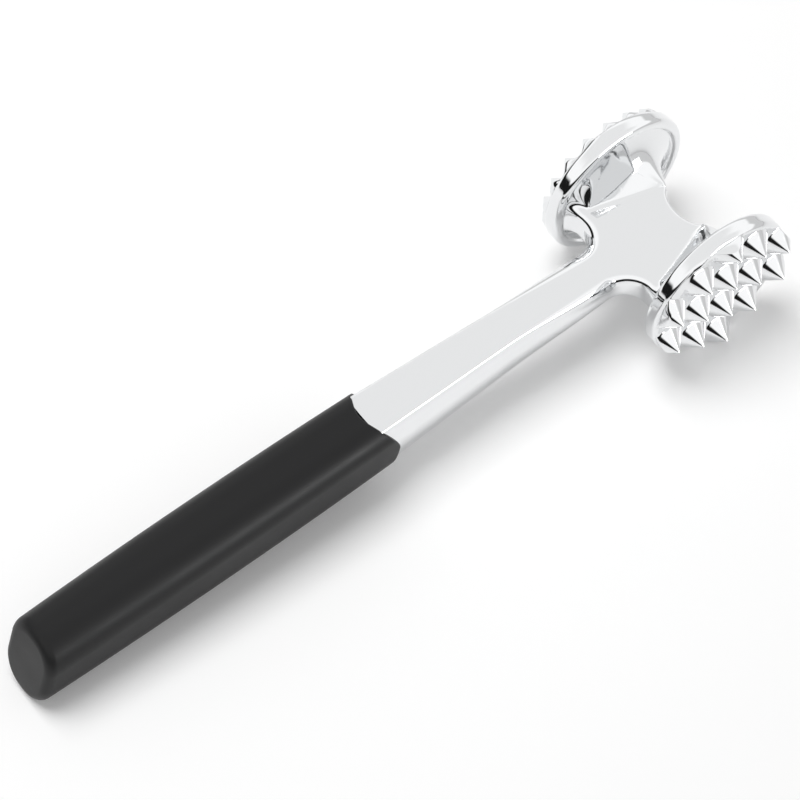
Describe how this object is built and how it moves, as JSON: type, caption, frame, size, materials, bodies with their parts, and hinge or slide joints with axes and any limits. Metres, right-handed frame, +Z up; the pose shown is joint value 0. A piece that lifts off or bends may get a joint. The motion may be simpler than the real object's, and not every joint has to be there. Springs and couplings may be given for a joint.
{
  "type": "meat mallet",
  "caption": "Double-faced meat mallet lying on its side: chromed head with coarse and fine spiked discs, tapered shank, black moulded grip.",
  "frame": {"origin": "centre of the bounding box in plan, at the height of the surface the mallet lies on", "axes": "+Z up, the handle runs towards -X, the coarse face looks towards -Y and the fine face towards +Y; both discs and the lower edge of the butt touch z = 0"},
  "size_m": [0.244, 0.0594, 0.048],
  "materials": {
    "chrome": "polished chrome plate on die-cast zinc alloy",
    "grip_black": "fine satin moulded surface"
  },
  "bodies": {
    "root": {"casting": "chrome", "grip": "grip_black"}
  },
  "joints": []
}
